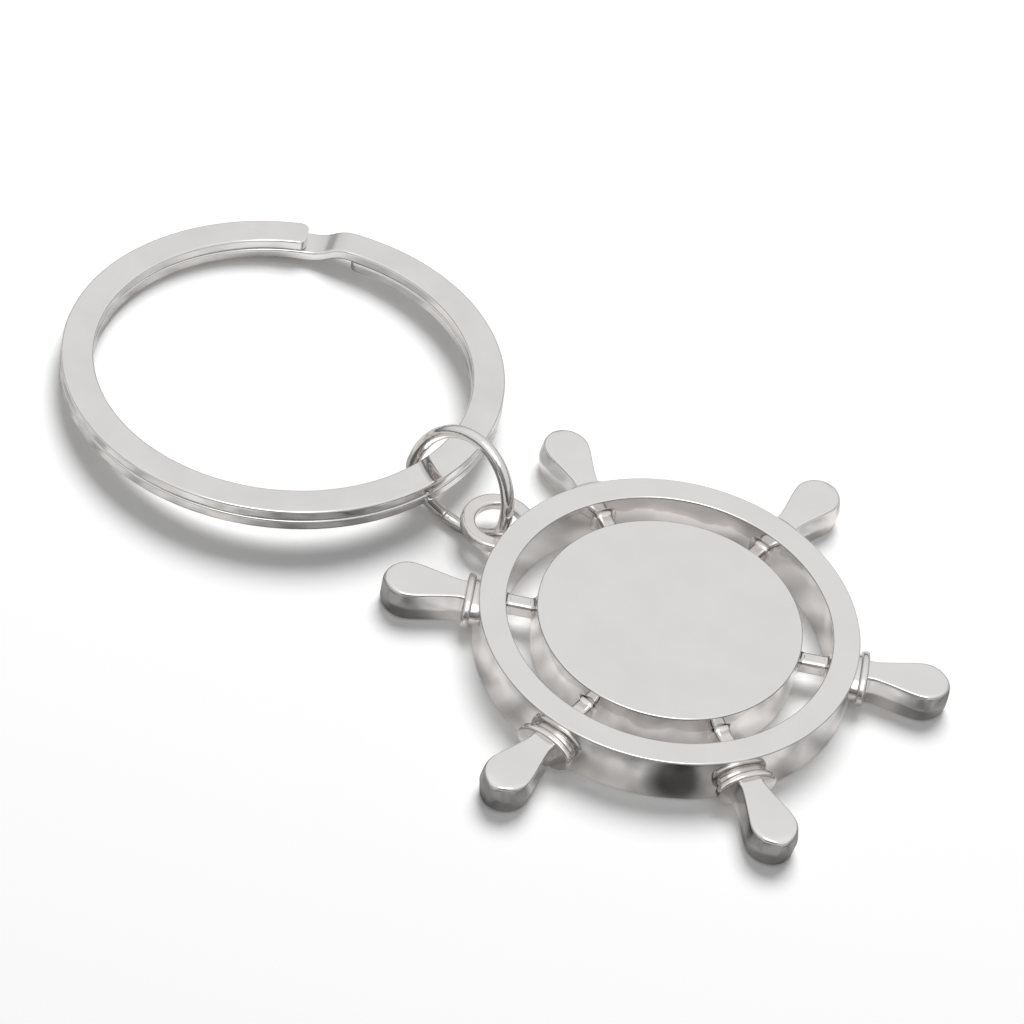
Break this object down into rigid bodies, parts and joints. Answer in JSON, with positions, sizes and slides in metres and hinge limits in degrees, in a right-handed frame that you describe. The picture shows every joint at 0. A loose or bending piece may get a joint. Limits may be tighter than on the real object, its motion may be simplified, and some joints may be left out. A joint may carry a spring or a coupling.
{
  "type": "ship wheel keychain",
  "caption": "Keychain with a flat ship's wheel pendant, blank polished hub disc, jump ring and split key ring",
  "frame": {"origin": "centre of the wheel on its flat back face", "axes": "+Z out of the wheel's front face, +X from the wheel's centre through the eye to the split ring, +Y across"},
  "size_m": [0.0646, 0.0378, 0.0074],
  "materials": {
    "wheel_plating": "mirror-polished nickel plating on a zinc casting",
    "jump_ring_plating": "nickel-plated steel wire",
    "split_ring_plating": "nickel-plated spring steel strip"
  },
  "bodies": {
    "wheel": {"rim": "wheel_plating", "hub": "wheel_plating", "eye": "wheel_plating", "spoke_1": "wheel_plating", "spoke_2": "wheel_plating", "spoke_3": "wheel_plating", "spoke_4": "wheel_plating", "spoke_5": "wheel_plating", "spoke_6": "wheel_plating", "collar_1": "wheel_plating", "collar_2": "wheel_plating", "collar_3": "wheel_plating", "collar_4": "wheel_plating", "collar_5": "wheel_plating", "collar_6": "wheel_plating", "handle_1": "wheel_plating", "handle_2": "wheel_plating", "handle_3": "wheel_plating", "handle_4": "wheel_plating", "handle_5": "wheel_plating", "handle_6": "wheel_plating"},
    "jump_ring": {"jump_ring": "jump_ring_plating"},
    "split_ring": {"split_ring": "split_ring_plating"}
  },
  "joints": [
    {"name": "jump_ring_swing", "type": "hinge", "parent": "wheel", "child": "jump_ring", "pos_m": [0.01405, 0, 0.00171], "axis": [0, 0, 1], "range_deg": [-14, 14]},
    {"name": "split_ring_flip", "type": "hinge", "parent": "jump_ring", "child": "split_ring", "pos_m": [0.01914, -0.00004, 0.00297], "axis": [-0.037, -0.9989, -0.03], "range_deg": [-60, 150]}
  ]
}
